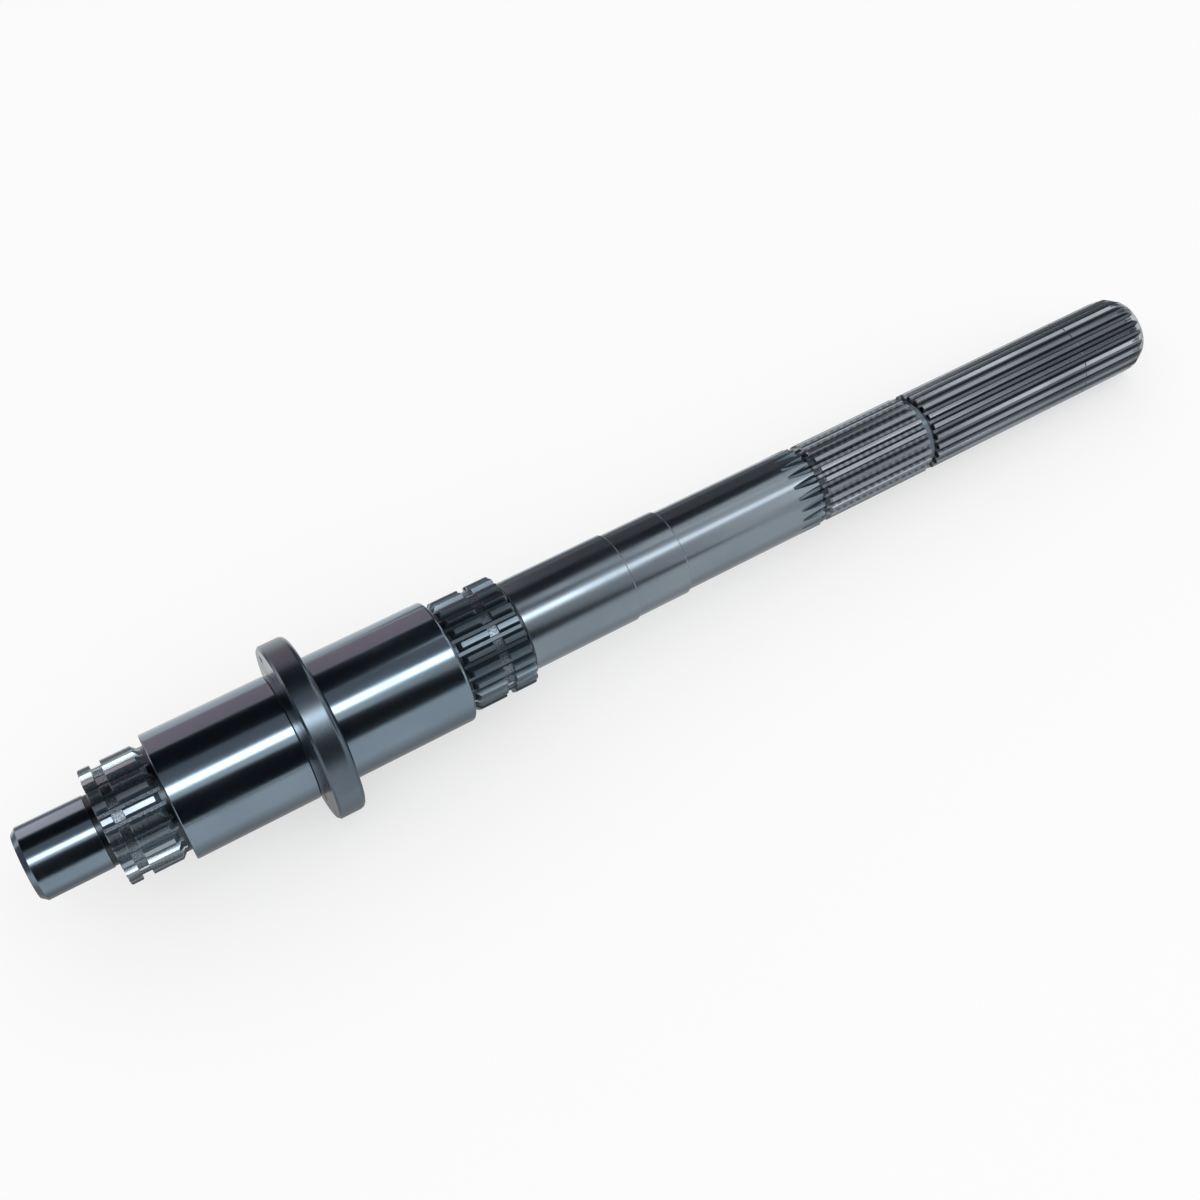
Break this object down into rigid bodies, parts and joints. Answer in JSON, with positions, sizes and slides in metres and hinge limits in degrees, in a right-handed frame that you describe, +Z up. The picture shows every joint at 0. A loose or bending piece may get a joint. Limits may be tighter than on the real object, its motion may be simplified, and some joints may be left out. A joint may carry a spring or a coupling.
{
  "type": "main shaft",
  "caption": "Turned steel gearbox main shaft with a pilot end, splined bands, ground journals either side of a thrust flange, stepped seats and a long splined tail.",
  "frame": {"origin": "on the shaft's axis at the rear end of the front main journal's wall, 2.3 mm in front of the thrust flange's front face", "axes": "+X along the shaft from the pilot end to the long splined tail, +Z up, with the shaft lying level"},
  "size_m": [0.4408, 0.0622, 0.0622],
  "materials": {
    "steel": "ground and polished on the journals and seats, finely machined elsewhere"
  },
  "bodies": {
    "root": {"main_shaft": "steel"}
  },
  "joints": []
}
